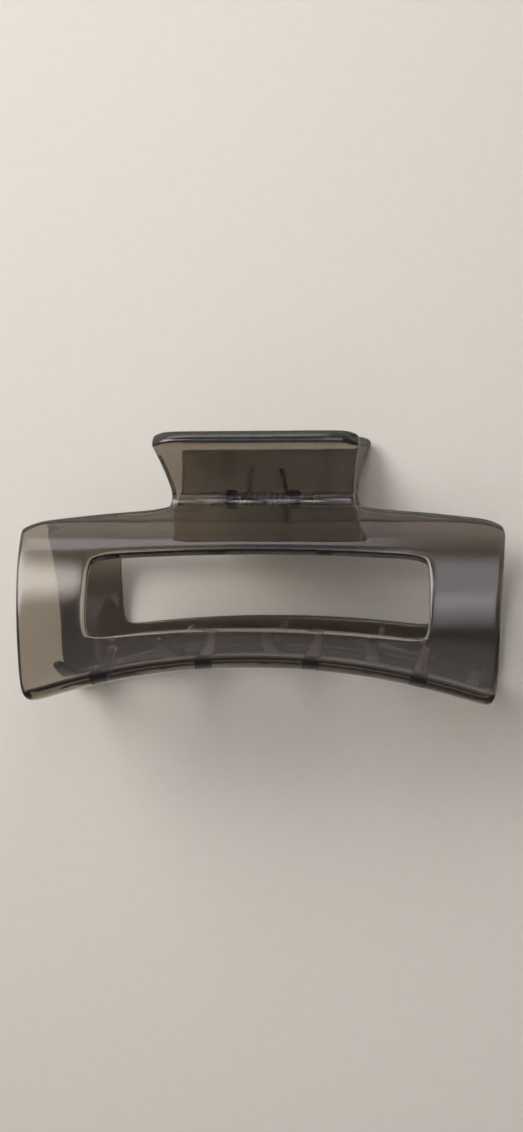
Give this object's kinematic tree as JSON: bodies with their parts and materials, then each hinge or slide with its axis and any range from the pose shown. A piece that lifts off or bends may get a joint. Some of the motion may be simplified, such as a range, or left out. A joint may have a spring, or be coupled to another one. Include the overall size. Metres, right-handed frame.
{
  "type": "claw clip",
  "caption": "Large open-frame hair claw clip: two arched window jaws with curved teeth and flared handles, hinged on a steel pin and closed by a torsion spring.",
  "frame": {"origin": "on the resting plane, under the middle of the closed clip's outline", "axes": "+X along the hinge pin, +Y towards the handles, +Z from the back jaw that the clip rests on to the front jaw"},
  "size_m": [0.109, 0.0602, 0.0468],
  "materials": {
    "smoke_plastic": "glossy translucent smoke-grey polycarbonate",
    "pin_steel": "drawn steel rod, cut ends",
    "spring_steel": "drawn spring wire"
  },
  "bodies": {
    "back_half": {"back_jaw": "smoke_plastic", "hinge_pin": "pin_steel", "spring": "spring_steel"},
    "front_half": {"front_jaw": "smoke_plastic"}
  },
  "joints": [
    {"name": "jaw_hinge", "type": "hinge", "parent": "back_half", "child": "front_half", "pos_m": [0, 0.01514, 0.0234], "axis": [-1, 0, 0], "range_deg": [0, 95], "stiffness_Nm_per_rad": 0.08, "springref_deg": -40.11, "deforming": ["spring"]}
  ]
}
